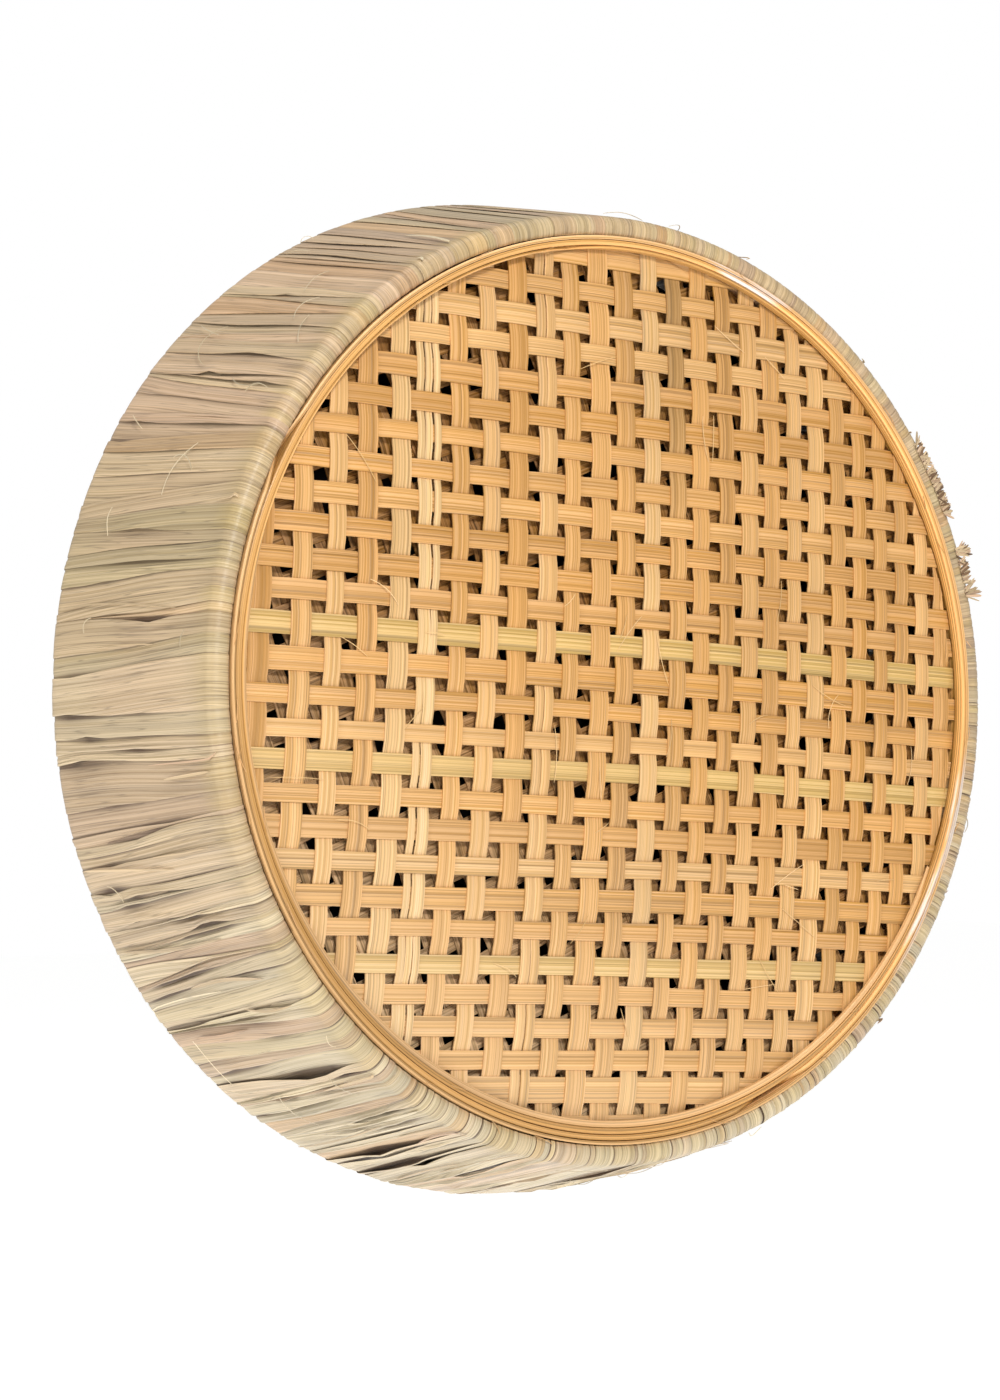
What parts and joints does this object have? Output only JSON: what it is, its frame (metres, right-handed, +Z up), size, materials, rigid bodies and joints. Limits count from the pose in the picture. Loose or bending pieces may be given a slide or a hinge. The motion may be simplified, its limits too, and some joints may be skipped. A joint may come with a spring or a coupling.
{
  "type": "wall light",
  "caption": "Round wall light: a raffia-wrapped tapering drum with a double woven bamboo front, over a black steel plate with a lampholder and globe bulb.",
  "frame": {"origin": "centre of the wall face, on the back of the mounting bar", "axes": "+Z up, +Y into the wall, so the woven front faces -Y; +X to the right as seen from the front"},
  "size_m": [0.4414, 0.0966, 0.4414],
  "materials": {
    "bamboo_strip": "planed, unvarnished",
    "bamboo_back_strip": "planed, unvarnished, in shade",
    "bamboo_splint": "split, lightly varnished",
    "raffia": "dry palm leaf, matt",
    "black_steel": "matt powder coat",
    "zinc_steel": "zinc plated",
    "spring_steel": "plain",
    "black_plastic": "moulded",
    "white_plastic": "moulded",
    "brass": "plain",
    "rubber": "moulded",
    "glass": "clear"
  },
  "bodies": {
    "base": {"wall_plate": "black_steel", "mounting_bar": "zinc_steel", "stud_left": "zinc_steel", "stud_right": "zinc_steel", "clip_rivet_1": "zinc_steel", "clip_rivet_2": "zinc_steel", "clip_rivet_3": "zinc_steel", "holder_bracket": "zinc_steel", "bracket_screw_left": "zinc_steel", "bracket_screw_right": "zinc_steel", "holder_nipple": "zinc_steel", "nipple_nut": "zinc_steel", "shade_clip_1": "spring_steel", "shade_clip_2": "spring_steel", "shade_clip_3": "spring_steel", "lampholder_cup": "black_plastic", "contact_carrier": "white_plastic", "terminal_block": "white_plastic", "internal_lead": "white_plastic", "earth_screw": "brass", "lampholder_sleeve": "brass", "centre_contact": "brass", "lead_grommet": "rubber"},
    "shade": {"front_mat_uprights": "bamboo_strip", "front_mat_crosspieces": "bamboo_strip", "back_mat_uprights": "bamboo_back_strip", "back_mat_crosspieces": "bamboo_back_strip", "rim_outer_splint": "bamboo_splint", "rim_middle_splint": "bamboo_splint", "rim_inner_splint": "bamboo_splint", "mat_retaining_splint": "bamboo_splint", "raffia_wrap_01": "raffia", "raffia_wrap_02": "raffia", "raffia_wrap_03": "raffia", "raffia_wrap_04": "raffia", "raffia_wrap_05": "raffia", "raffia_wrap_06": "raffia", "raffia_wrap_07": "raffia", "raffia_wrap_08": "raffia", "raffia_wrap_09": "raffia", "raffia_wrap_10": "raffia", "raffia_wrap_11": "raffia", "raffia_wrap_12": "raffia", "front_wire_ring": "zinc_steel", "rear_wire_ring": "zinc_steel", "frame_strut_1": "zinc_steel", "frame_strut_2": "zinc_steel", "frame_strut_3": "zinc_steel", "frame_strut_4": "zinc_steel", "frame_strut_5": "zinc_steel", "frame_strut_6": "zinc_steel", "frame_strut_7": "zinc_steel", "frame_strut_8": "zinc_steel"},
    "bulb": {"bulb_glass": "glass", "bulb_stem": "glass", "bulb_cap": "brass", "bulb_contact": "brass"},
    "nut_left": {"cap_nut_left": "brass"},
    "nut_right": {"cap_nut_right": "brass"}
  },
  "joints": [
    {"name": "shade_pull_off", "type": "slide", "parent": "base", "child": "shade", "axis": [0, -1, 0], "range_m": [0, 0.15]},
    {"name": "bulb_turn", "type": "hinge", "parent": "base", "child": "bulb", "pos_m": [0, -0.049, 0], "axis": [0, 0, 1], "continuous": true},
    {"name": "nut_left_turn", "type": "hinge", "parent": "base", "child": "nut_left", "pos_m": [-0.055, -0.0183, 0], "axis": [0, -1, 0], "continuous": true},
    {"name": "nut_right_turn", "type": "hinge", "parent": "base", "child": "nut_right", "pos_m": [0.055, -0.0183, 0], "axis": [0, -1, 0], "continuous": true}
  ]
}
